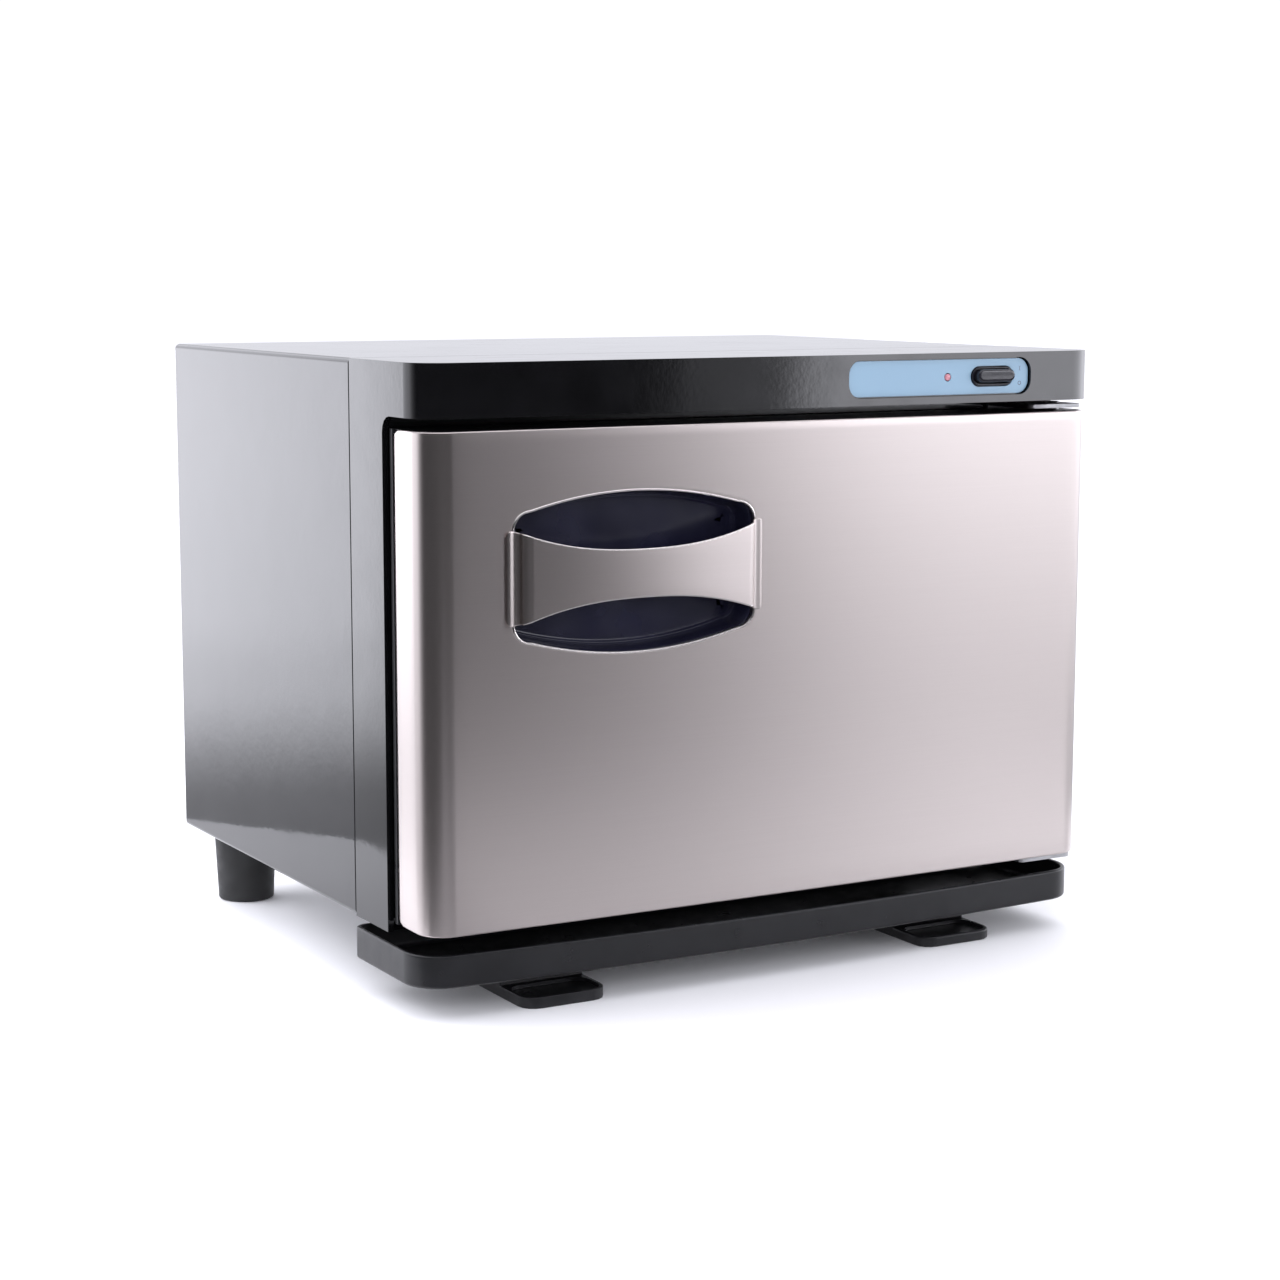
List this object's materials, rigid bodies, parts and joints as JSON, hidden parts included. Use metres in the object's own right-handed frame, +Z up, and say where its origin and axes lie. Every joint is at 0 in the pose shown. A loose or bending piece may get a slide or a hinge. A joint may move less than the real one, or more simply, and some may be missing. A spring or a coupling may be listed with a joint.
{
  "type": "hot towel cabinet",
  "caption": "Small heated towel cabinet: black casing, right-hinged brushed steel door with pressed pull, rocker switch, wire basket and drip tray.",
  "frame": {"origin": "centre of the bounding box at the surface the feet stand on", "axes": "+X to the right seen from the front, front faces -Y, +Z up"},
  "size_m": [0.35, 0.3012, 0.2775],
  "materials": {
    "black_enamel": "gloss",
    "black_gloss_plastic": "gloss",
    "black_satin_plastic": "satin",
    "black_rubber": "matte",
    "stainless": "satin",
    "aluminium": "satin",
    "zinc": "satin",
    "chrome": "polished",
    "foil": "gloss",
    "foam": "matte",
    "mineral_wool": "matte",
    "silicone": "matte",
    "pale_blue_overlay": "satin",
    "dark_grey_plastic": "gloss",
    "lamp_red": "gloss",
    "white_plastic": "satin",
    "label_foil": "satin",
    "red_lead": "satin",
    "brown_lead": "satin",
    "grey_lead": "satin"
  },
  "bodies": {
    "cabinet": {"bottom_pan": "zinc", "catch_magnet": "dark_grey_plastic", "chamber_liner": "aluminium", "control_plate": "pale_blue_overlay", "cord_gland": "black_rubber", "front_fascia": "black_gloss_plastic", "front_foot_left": "black_satin_plastic", "front_foot_left_screw": "zinc", "front_foot_right": "black_satin_plastic", "front_foot_right_screw": "zinc", "heater_pad": "foil", "hinge_bracket_bottom": "zinc", "hinge_bracket_top": "zinc", "hinge_screw_bottom_1": "zinc", "hinge_screw_bottom_2": "zinc", "hinge_screw_top_1": "zinc", "hinge_screw_top_2": "zinc", "insulation_jacket": "mineral_wool", "outer_casing": "black_enamel", "power_lamp": "lamp_red", "rack_rail_left": "aluminium", "rack_rail_right": "aluminium", "rating_label": "label_foil", "rear_foot_left": "black_rubber", "rear_foot_left_screw": "zinc", "rear_foot_right": "black_rubber", "rear_foot_right_screw": "zinc", "rear_panel": "black_satin_plastic", "rear_screw_1": "zinc", "rear_screw_2": "zinc", "rear_screw_3": "zinc", "rear_screw_4": "zinc", "switch_body": "dark_grey_plastic", "terminal_block": "white_plastic", "thermal_fuse": "white_plastic", "thermostat": "dark_grey_plastic", "wire_control": "brown_lead", "wire_heater": "red_lead", "wire_sensor": "grey_lead"},
    "door": {"door_skin": "stainless", "pull_strap": "stainless", "pull_cup": "black_gloss_plastic", "door_frame": "black_satin_plastic", "door_insulation": "foam", "door_liner": "aluminium", "door_gasket": "silicone", "strike_plate": "zinc", "hinge_bush_top": "white_plastic", "hinge_bush_bottom": "white_plastic"},
    "rocker": {"switch_rocker": "dark_grey_plastic"},
    "basket": {"basket_base": "chrome", "basket_rim": "chrome"},
    "tray": {"drip_tray": "black_satin_plastic"}
  },
  "joints": [
    {"name": "door_hinge", "type": "hinge", "parent": "cabinet", "child": "door", "pos_m": [0.1635, -0.1234, 0.14], "axis": [0, 0, 1], "range_deg": [0, 115]},
    {"name": "switch_rocker_tip", "type": "hinge", "parent": "cabinet", "child": "rocker", "pos_m": [0.1145, -0.1399, 0.2665], "axis": [1, 0, 0], "range_deg": [0, 14]},
    {"name": "tray_slide", "type": "slide", "parent": "cabinet", "child": "tray", "axis": [0, -1, 0], "range_m": [0, 0.07]},
    {"name": "basket_slide", "type": "slide", "parent": "cabinet", "child": "basket", "axis": [0, -1, 0], "range_m": [0, 0.01]}
  ]
}
